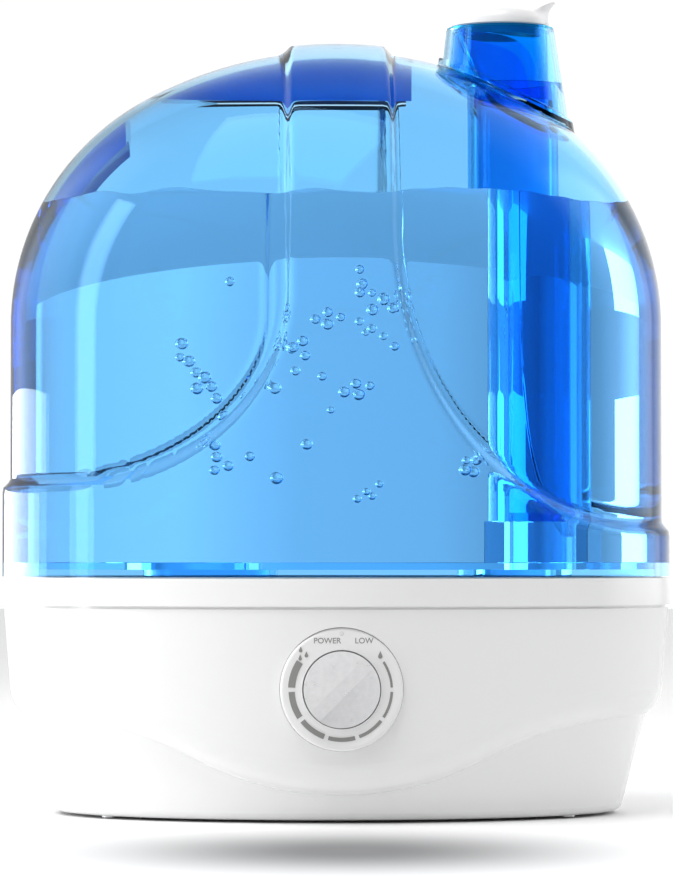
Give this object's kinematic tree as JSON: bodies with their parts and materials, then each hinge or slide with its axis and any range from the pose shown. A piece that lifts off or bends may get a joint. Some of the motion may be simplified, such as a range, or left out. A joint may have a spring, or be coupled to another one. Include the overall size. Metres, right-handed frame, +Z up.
{
  "type": "cool mist humidifier",
  "caption": "Oval table humidifier: clear domed water tank with mist tube, turning mist cap and hand pocket, on a white base with a level dial.",
  "frame": {"origin": "on the floor under the middle of the oval base", "axes": "+Z up, front with the dial towards -Y, mist nozzle on the +X side"},
  "size_m": [0.24, 0.1734, 0.2905],
  "materials": {
    "white_shell": "gloss",
    "light_blue_clear": "gloss",
    "deep_blue_clear": "gloss",
    "white_cap": "satin",
    "knob_silver": "satin",
    "grey_print": "matt print",
    "lamp_clear": "clear",
    "rubber": "matt",
    "steel": "zinc plated",
    "aluminium": "satin",
    "ceramic_disc": "plated ceramic disc",
    "black_plastic": "matt",
    "board_green": "solder mask",
    "grey_plastic": "matt",
    "float_foam": "foam"
  },
  "bodies": {
    "base": {"base_housing": "white_shell", "bottom_cover": "white_shell", "rubber_feet": "rubber", "cover_screws": "steel", "water_basin": "white_shell", "reed_switch": "black_plastic", "mist_disc": "ceramic_disc", "disc_seal": "rubber", "disc_bracket": "aluminium", "bracket_screws": "steel", "fan_frame": "black_plastic", "air_duct": "grey_plastic", "power_board": "board_green", "power_transformer": "black_plastic", "filter_capacitor": "black_plastic", "terminal_block": "board_green", "driver_board": "board_green", "heat_sink": "aluminium", "control_board": "board_green", "board_screws": "steel", "dial_ring": "white_shell", "dial_marks": "grey_print", "level_control": "black_plastic", "light_guide": "lamp_clear", "power_lamp": "lamp_clear", "cord_inlet": "rubber"},
    "tank": {"tank_shell": "light_blue_clear", "tank_floor": "light_blue_clear", "carry_handle": "deep_blue_clear", "mist_tube": "deep_blue_clear"},
    "nozzle": {"nozzle_collar": "light_blue_clear", "nozzle_funnel": "deep_blue_clear"},
    "mist_cap": {"mist_cap": "white_cap"},
    "fill_cap": {"fill_cap": "white_cap", "fill_cap_seal": "rubber", "valve_spring": "steel"},
    "valve": {"valve_stem": "grey_plastic", "valve_disc": "rubber"},
    "float": {"water_float": "float_foam"},
    "fan": {"fan_rotor": "black_plastic"},
    "knob": {"control_knob": "knob_silver", "knob_shaft": "steel"}
  },
  "joints": [
    {"name": "tank_lift", "type": "slide", "parent": "base", "child": "tank", "axis": [0, 0, 1], "range_m": [0, 0.12]},
    {"name": "nozzle_lift", "type": "slide", "parent": "tank", "child": "nozzle", "axis": [0, 0, 1], "range_m": [0, 0.03]},
    {"name": "mist_cap_turn", "type": "hinge", "parent": "nozzle", "child": "mist_cap", "pos_m": [0.059, 0, 0.2816], "axis": [0, 0, 1], "continuous": true},
    {"name": "fill_cap_turn", "type": "hinge", "parent": "tank", "child": "fill_cap", "pos_m": [-0.045, 0, 0.07], "axis": [0, 0, 1], "range_deg": [-270, 0]},
    {"name": "valve_lift", "type": "slide", "parent": "fill_cap", "child": "valve", "axis": [0, 0, 1], "range_m": [0, 0.004], "stiffness_N_per_m": 150, "springref_m": -0.004, "deforming": ["valve_spring"]},
    {"name": "float_rise", "type": "slide", "parent": "base", "child": "float", "axis": [0, 0, 1], "range_m": [0, 0.009]},
    {"name": "fan_spin", "type": "hinge", "parent": "base", "child": "fan", "pos_m": [0.026, 0, 0.008], "axis": [0, 0, 1], "continuous": true},
    {"name": "knob_turn", "type": "hinge", "parent": "base", "child": "knob", "pos_m": [0, -0.08, 0.0464], "axis": [0, -1, 0], "range_deg": [-254, 66]}
  ]
}
